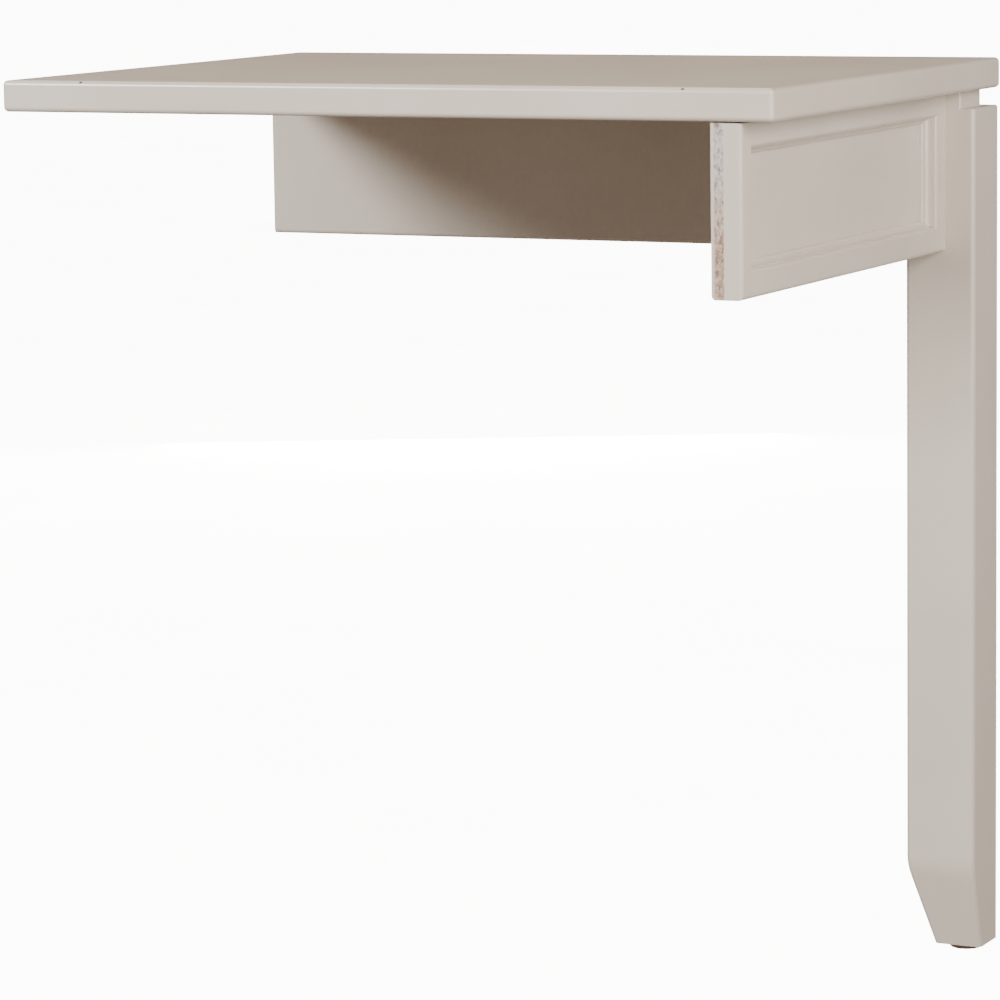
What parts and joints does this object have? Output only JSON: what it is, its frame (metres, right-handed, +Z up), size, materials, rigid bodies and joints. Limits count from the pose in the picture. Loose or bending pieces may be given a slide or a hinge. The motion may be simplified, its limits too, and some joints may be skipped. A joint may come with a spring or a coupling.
{
  "type": "return table",
  "caption": "One-legged rectangular return table with panelled rails on two sides and a levelling foot, carried by a host on its other sides.",
  "frame": {"origin": "on the floor, under the middle of the top", "axes": "+Z up, +X towards the side rail and leg, +Y towards the back rail; the host is at -Y and -X"},
  "size_m": [0.668, 0.506, 0.762],
  "materials": {
    "painted_wood": "satin",
    "rail_board": "satin",
    "cleat_wood": "matte",
    "dowel_wood": "matte",
    "zinc_steel": "satin",
    "pad_plastic": "matte",
    "sole_rubber": "matte"
  },
  "bodies": {
    "table": {"table_top": "painted_wood", "leg": "painted_wood", "side_rail_core": "rail_board", "side_rail_free_stile": "painted_wood", "side_rail_leg_stile": "painted_wood", "side_rail_top_member": "painted_wood", "side_rail_bottom_member": "painted_wood", "side_rail_bottom_moulding": "painted_wood", "side_rail_top_moulding": "painted_wood", "side_rail_free_moulding": "painted_wood", "side_rail_leg_moulding": "painted_wood", "back_rail_core": "rail_board", "back_rail_free_stile": "painted_wood", "back_rail_leg_stile": "painted_wood", "back_rail_top_member": "painted_wood", "back_rail_bottom_member": "painted_wood", "back_rail_bottom_moulding": "painted_wood", "back_rail_top_moulding": "painted_wood", "back_rail_free_moulding": "painted_wood", "back_rail_leg_moulding": "painted_wood", "side_cleat": "cleat_wood", "back_cleat": "cleat_wood", "cleat_to_top_screws": "zinc_steel", "cleat_to_rail_screws": "zinc_steel", "corner_bracket": "zinc_steel", "corner_bracket_screws": "zinc_steel", "hanger_bolt": "zinc_steel", "hanger_washer": "zinc_steel", "wing_nut": "zinc_steel", "rail_dowels": "dowel_wood", "join_insert_left": "zinc_steel", "join_insert_right": "zinc_steel", "foot_insert": "zinc_steel"},
    "pad": {"foot_pad": "pad_plastic", "foot_sole": "sole_rubber"},
    "stem": {"foot_stem": "zinc_steel"}
  },
  "joints": [
    {"name": "foot_height", "type": "slide", "parent": "table", "child": "pad", "axis": [0, 0, -1], "range_m": [0, 0.01]},
    {"name": "foot_turn", "type": "hinge", "parent": "pad", "child": "stem", "pos_m": [0.312, 0.231, 0.02], "axis": [0, 0, -1], "range_deg": [0, 2880]}
  ],
  "couplings": [
    {"joint": "foot_height", "follows": "foot_turn", "m_per_rad": 0.00019894}
  ]
}
